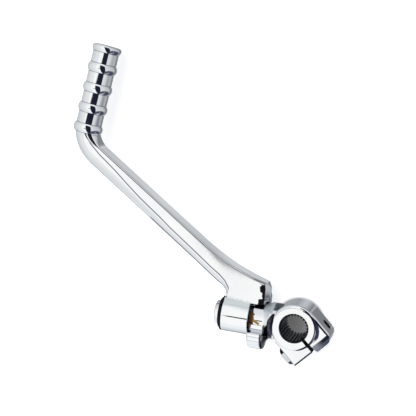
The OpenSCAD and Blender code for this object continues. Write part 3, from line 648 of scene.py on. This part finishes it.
def bossMarks(wire, x, y, z, ragged):
    wear = bossWear
    out = wire.math("SQRT", x * x + y * y)
    # brown grease with painted shade in the gap to the sleeve, and the drip that runs from it
    gap = wire.math("MINIMUM", y + 1, 0.0) * 0.5
    pocket = (x + ragged * 2.4 - gap).within(*wear["pocket"]) * (y + ragged * 3).within(*wear["pocketRise"])
    pocket = pocket * z.step(*wear["pocketFront"])
    rust = pocket * (x + ragged * 2.6).within(*wear["rust"]) * (y + ragged * 2).within(*wear["rustRise"])
    fromRun = y + (x - wear["runStart"]) * wear["runSlope"] - wear["runTop"] + ragged * 1.6
    run = (x + ragged * 1.5).within(*wear["run"]) * fromRun.within(*wear["runRise"]) * z.step(*wear["runFront"])
    # painted shade in the recess beside the hub, with a paler painted reflection streak
    recess = (x - y.curve(wear["recessLine"]) + ragged * 0.6).step(-0.2, 0.2)
    recess = recess * (out - y.curve(wear["recessHub"])).step(-0.1, 0.1)
    recess = recess * z.step(*wear["recessFront"]) * (0 - x).step(*wear["recessSide"])
    recess = recess * (1 - (y + ragged * 0.6).step(*wear["recessTop"]))
    streak = recess * (out + ragged * 1.5).within(*wear["streak"]) * y.within(*wear["streakRise"])
    # painted shade in the valley above the neck, and a painted pale matt patch for the lit facet beside it
    valley = out.step(*wear["valleyHub"]) * (x + ragged * 3).within(*wear["valley"])
    valley = valley * (y + ragged).step(*wear["valleyRise"]) * (1 - z.step(*wear["valleyFront"]))
    paintedLitFacet = (x + ragged * 1.5).within(*wear["paintedLitFacet"]) * (y + ragged * 1.5).step(*wear["paintedLitFacetRise"])
    paintedLitFacet = paintedLitFacet * (1 - z.step(*wear["paintedLitFacetFront"]))
    # a thin band of painted shade on the hub's front, near its rim
    ring = out.within(*wear["ring"]) * z.step(*wear["ringFront"])
    ring = ring * x.within(*wear["ringSide"]) * y.step(*wear["ringRise"])
    turn = wire.math("ARCTAN2", y + collar["drop"], z + collar["behind"]) * (180 / math.pi) + ragged * 1.5
    lines = sum(turn.within(low, high, soft) * strength for low, high, soft, strength in wear["paintedReflectionLines"])
    lines = lines * x.within(collar["start"] + 0.8, collar["end"] + 0.6, 0.3)
    lines = lines * y.step(*wear["paintedReflectionLinesRise"]) * z.step(*wear["paintedReflectionLinesFront"])
    # the ears, in the clamp's own directions
    sine, cosine = math.sin(math.radians(ears["turn"])), math.cos(math.radians(ears["turn"]))
    outward, across = x * cosine - y * sine, x * sine + y * cosine
    bend = out - (outward - wear["arcMiddle"]) * wear["arcTilt"] - wear["arcRadius"] + ragged * 0.5
    wedge = (outward.curve(wear["arcHalf"]) - wire.math("ABSOLUTE", bend)).step(*wear["arcEdge"])
    wedge = wedge * across.step(*wear["arcAcross"]) * outward.within(*wear["arcRun"]) * z.step(*wear["arcFront"])
    # a painted pale sheen on the tapped ear's end, strongest beside the slit
    paintedSheen = (1 - across.step(*wear["paintedSheen"])) * outward.step(*wear["paintedSheenOutward"]) * across.step(*wear["paintedSheenAcross"])
    # painted bluish shade on the hub's outer wall
    wall = out.step(*wear["wall"]) * (1 - z.step(*wear["wallFront"])) * y.step(*wear["wallRise"])
    # painted dark reflection lines along the plain ear's end and its long edge
    lipAt = [ears["plain"]["reach"] - inset for inset in wear["lipInset"]]
    flankAt = [ears["half"] - inset for inset in wear["flankInset"]]
    lip = (0 - across).step(*wear["lip"]) * outward.step(*lipAt) * z.step(*wear["lineFront"])
    flank = (0 - across).step(*flankAt) * outward.step(*wear["flankRun"]) * z.step(*wear["lineFront"])
    return [
        (wall * 0.3, "paintedBlueShade", 0.05, 0),
        (paintedSheen * 0.8, "paintedSheen", 0.2, 0.75),
        (wedge, "edge", 0, 0),
        (lip, "edge", 0, 0),
        (flank * 0.7, "paintedBlueShade", 0, 0),
        (lines, "paintedBlueShade", 0.1, 0),
        (ring * 0.5, "paintedBlueShade", 0, 0),
        (valley * (0.95 + ragged * 0.5), "valley", 0.2, 0.3),
        (paintedLitFacet * 0.85, "matt", 0.4, 0.8),
        (recess, "greaseAndPaintedShade", 0.15, 0),
        (streak * 0.7, "streak", 0.1, 0),
        (pocket, "greaseAndPaintedShade", 0.4, 0.9),
        (run, "drip", 0.5, 0.9),
        (rust, "stain", 0.5, 0),
    ]


intoClamp = Matrix.Rotation(-math.radians(ears["turn"]), 4, "Z")
bossShape = combined("UNION", buildHub(), *buildEars(), buildNeck(), *buildCollar(), buildSpindle())
bossShape = combined("DIFFERENCE", bossShape, buildBore(), buildLead(1), buildLead(-1), *clampTools())
bossChrome = chromePlate("bossChrome", bossMarks)
boss = finished("bossForging", bossShape, [bossChrome, boreShadeSteel], "boss", "boss")
for polygon in boss.data.polygons:
    # the broached bore and the sawn slit get the near-black bare steel whose colour is painted shade
    centre = polygon.center / mm
    inClamp = intoClamp.inverted() @ centre
    inBore = math.hypot(centre.x, centre.y) < hub["lead"] + 0.02 and abs(centre.z) < hub["half"] - 0.01
    if inBore or (inClamp.x > hub["tip"] - 1 and abs(inClamp.y) < ears["slit"] / 2 + 0.01):
        polygon.material_index = 1


washer = {"start": -43.05, "end": -42.05, "radius": 10.0, "bore": 7.0, "edge": 0.15}


def buildWasher():
    x0, x1, r, b, e = washer["start"], washer["end"], washer["radius"], washer["bore"], washer["edge"]
    return turned([(x0, b), (x0, r - e), (x0 + e, r), (x1 - e, r), (x1, r - e), (x1, b)], "X", closed=True)


finished("thrustWasher", buildWasher(), [blackSteel], "boss", "thrust_washer")

bolt = {
    "radius": 3.0, "flats": 10.0, "head": 4.0, "shank": 3, "length": 22.0, "tip": 0.8, "pitch": 1.0,
    "crown": 4.75, "crownSlope": 0.55, "crownDepth": 0.9,
}


def buildBolt():
    # one flat of the head faces the hub's front; the bolt runs from its head towards +Z
    r, head, end, pitch = (bolt[key] for key in ("radius", "head", "length", "pitch"))
    corner = bolt["flats"] / 2 / math.cos(math.radians(30))
    hexagon = bmesh.new()
    place = Matrix.Translation((0, 0, -head / 2)) @ Matrix.Rotation(math.radians(30), 4, "Z")
    bmesh.ops.create_cone(hexagon, cap_ends=True, segments=6, radius1=corner, radius2=corner, depth=head, matrix=place)
    # the turned blank rounds off the hexagon's outer corners and stands clear of it elsewhere
    clear, past = corner + 0.05, 0.01
    blank = turned([(-head - 1, 0), (-head - 1, bolt["crown"] - bolt["crownSlope"]), (-head, bolt["crown"]),
                    (-head + bolt["crownDepth"], clear), (past, clear), (past, 0)], "Z", 64)
    profile = [(-0.2, 0), (-0.2, r), (bolt["shank"], r)]
    place = bolt["shank"]
    while place + pitch < end - bolt["tip"]:
        profile += [(place + pitch * 0.5, r - pitch * 0.5), (place + pitch, r)]
        place += pitch
    profile += [(end, r - bolt["tip"]), (end, 0)]
    return combined("UNION", combined("INTERSECT", hexagon, blank), turned(profile, "Z", 48))


headPlace = Matrix.Translation((ears["boltPlace"], -ears["half"], 0))
intoBolt = intoClamp @ headPlace @ Matrix.Rotation(-math.pi / 2, 4, "X")
boltShape = turnedBy(buildBolt(), intoBolt)
finished("pinchBolt", boltShape, [zincSteel], "boss", "pinch_bolt", smoothBelow=25)

# these carry over from the solids as they are
for name, material in (("circlip", blackSteel), ("detent_ball", springSteel), ("detent_spring", springSteel)):
    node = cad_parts[name]
    node.data.materials.clear()
    node.data.materials.append(material)
print("pieces made")


studio = {
    # brightness round the object, by the angle to the right of straight up
    "round": [(-180, 0.68), (-176, 0.58), (-171, 0.42), (-155, 0.5), (-110, 0.66), (-60, 0.82), (-34, 0.86),
              (-26, 1.0), (44, 1.0), (50, 0.78), (70, 0.72), (90, 0.64), (112, 0.58), (130, 0.48), (146, 0.24),
              (168, 0.26), (172, 0.34), (176, 0.58), (180, 0.68)],
    "white": (1, 1, 1, 1), "tint": (0.93, 0.96, 1.0, 1), "tintEdge": (0.1, 0.8), "raggedScale": 14.0,
    "lowSide": (-0.2, -0.95, -0.25), "lowEdge": (0.72, 0.9), "lowLevel": 0.95,
    "nearSide": (0.6, -0.8, -0.1), "nearEdge": (0.68, 0.86), "nearDepth": 0.93, "navy": (0.03, 0.035, 0.08, 1),
    # a dark body and a bar that reaches out of it, as bands of angle to the right and upwards
    "dark": (0.012, 0.015, 0.03, 1), "body": (3.5, 46.0, 1.5), "bodyHigh": (-100.0, 54.0, 2.0),
    "bar": (-13.6, 5.5, 0.3), "barHigh": (-10.2, -2.8, 0.8),
}


def buildWorld():
    look = studio
    world = bpy.data.worlds.new("studio")
    scene.world = world
    world.use_nodes = True
    world.node_tree.nodes.clear()
    wire = Wire(world.node_tree)
    facing = wire.node("ShaderNodeTexCoord", out="Generated")
    x, y, z = split(wire, facing)
    aside = wire.math("ARCTAN2", x, z) * (180 / math.pi)
    above = wire.math("ARCTAN2", y, z) * (180 / math.pi)
    ragged = noise(wire, facing, look["raggedScale"], 2.0) - 0.5
    toLow, toNear = (wire.node("ShaderNodeVectorMath", {"operation": "DOT_PRODUCT"},
                               {0: facing, 1: Vector(look[side]).normalized()}, out=1)
                     for side in ("lowSide", "nearSide"))
    level = aside.curve(look["round"])
    level = level + (look["lowLevel"] - level) * toLow.step(*look["lowEdge"])
    pale = colourMix(wire, z.step(*look["tintEdge"]), look["tint"], look["white"])
    shade = colourMix(wire, 1.0, pale, level)
    shade.socket.node.blend_type = "MULTIPLY"
    near = (toNear + ragged * 0.06).step(*look["nearEdge"]) * look["nearDepth"]
    shade = colourMix(wire, near, shade, look["navy"])
    body = (aside + ragged * 5).within(*look["body"]) * (above + ragged * 6).within(*look["bodyHigh"])
    bar = aside.within(*look["bar"]) * above.within(*look["barHigh"])
    shade = colourMix(wire, wire.math("MAXIMUM", body, bar), shade, look["dark"])
    camera = wire.node("ShaderNodeLightPath", out="Is Camera Ray")
    shade = colourMix(wire, camera, shade, look["white"])
    back = wire.node("ShaderNodeBackground", None, {"Color": shade, "Strength": 1.0})
    wire.node("ShaderNodeOutputWorld", None, {"Surface": back})


ground = {
    "height": -11.35, "size": 4000, "colour": (0.9, 0.9, 0.9, 1), "black": (0, 0, 0, 1), "white": (1, 1, 1, 1),
    "lift": 0.66, "boreLift": 0.1, "boreFrom": 12.5, "boreTo": 18.5,
}


def buildFloor():
    bm = bmesh.new()
    bmesh.ops.create_grid(bm, x_segments=1, y_segments=1, size=ground["size"] / 2)
    bmesh.ops.translate(bm, vec=(0, 0, ground["height"]), verts=bm.verts)
    bmesh.ops.scale(bm, vec=(mm, mm, mm), verts=bm.verts)
    mesh = bpy.data.meshes.new("floor")
    bm.to_mesh(mesh)
    bm.free()
    floor = bpy.data.objects.new("floor", mesh)
    scene.collection.objects.link(floor)
    floor.visible_glossy = False  # polished metal shows the studio below it instead
    material, wire = newMaterial("paleFloor")
    camera = wire.node("ShaderNodeLightPath", out="Is Camera Ray")
    place = wire.node("ShaderNodeTexCoord", out="Object")
    # the lift that keeps the floor white stops under the hub, which paints the floor's shadow where the bore lets
    # little light through
    distance = wire.node("ShaderNodeVectorMath", {"operation": "LENGTH"}, {0: place}, out=1) / mm
    away = distance.step(math.hypot(ground["boreFrom"], ground["height"]), ground["boreTo"])
    lift = camera * (ground["boreLift"] + (ground["lift"] - ground["boreLift"]) * away)
    glowColour = colourMix(wire, lift, ground["black"], ground["white"])
    matt = wire.node("ShaderNodeBsdfDiffuse", None, {"Color": ground["colour"]})
    glow = wire.node("ShaderNodeEmission", None, {"Color": glowColour, "Strength": 1.0})
    both = wire.node("ShaderNodeAddShader", None, {0: matt, 1: glow})
    wire.node("ShaderNodeOutputMaterial", None, {"Surface": both})
    mesh.materials.append(material)


view = {
    "place": (72.35, 122.65, 499.65), "aim": (-58.0, 58.35, 0), "roll": 0.102,
    "sensor": 36, "focalPixels": 916.9, "photoPixels": 416, "clip": (0.01, 20),
}


def buildCamera():
    place, aim, roll = Vector(view["place"]), Vector(view["aim"]), view["roll"]
    z = (place - aim).normalized()
    x = Vector((0, 1, 0)).cross(z).normalized()
    y = z.cross(x)
    across = x * math.cos(roll) + y * math.sin(roll)
    up = y * math.cos(roll) - x * math.sin(roll)
    data = bpy.data.cameras.new("camera")
    data.sensor_width = view["sensor"]
    data.lens = view["sensor"] * view["focalPixels"] / view["photoPixels"]
    data.clip_start, data.clip_end = view["clip"]
    camera = bpy.data.objects.new("camera", data)
    camera.matrix_world = Matrix.Translation(place * mm) @ Matrix((across, up, z)).transposed().to_4x4()
    scene.collection.objects.link(camera)
    scene.camera = camera


softbox = {"size": 0.9, "power": 4, "place": (-0.75, 0.25, 0.9), "aim": (0.7, -0.2, -0.9)}  # metres and watts


def buildLamp():
    data = bpy.data.lights.new("softbox", "AREA")
    data.size, data.energy = softbox["size"], softbox["power"]
    lamp = bpy.data.objects.new("softbox", data)
    lamp.visible_glossy = False  # the studio already has the bright zones that the metal shows
    lamp.location = softbox["place"]
    lamp.rotation_mode = "QUATERNION"
    lamp.rotation_quaternion = Vector(softbox["aim"]).to_track_quat("-Z", "Y")
    scene.collection.objects.link(lamp)


buildWorld()
buildFloor()
buildCamera()
buildLamp()
print("studio made")
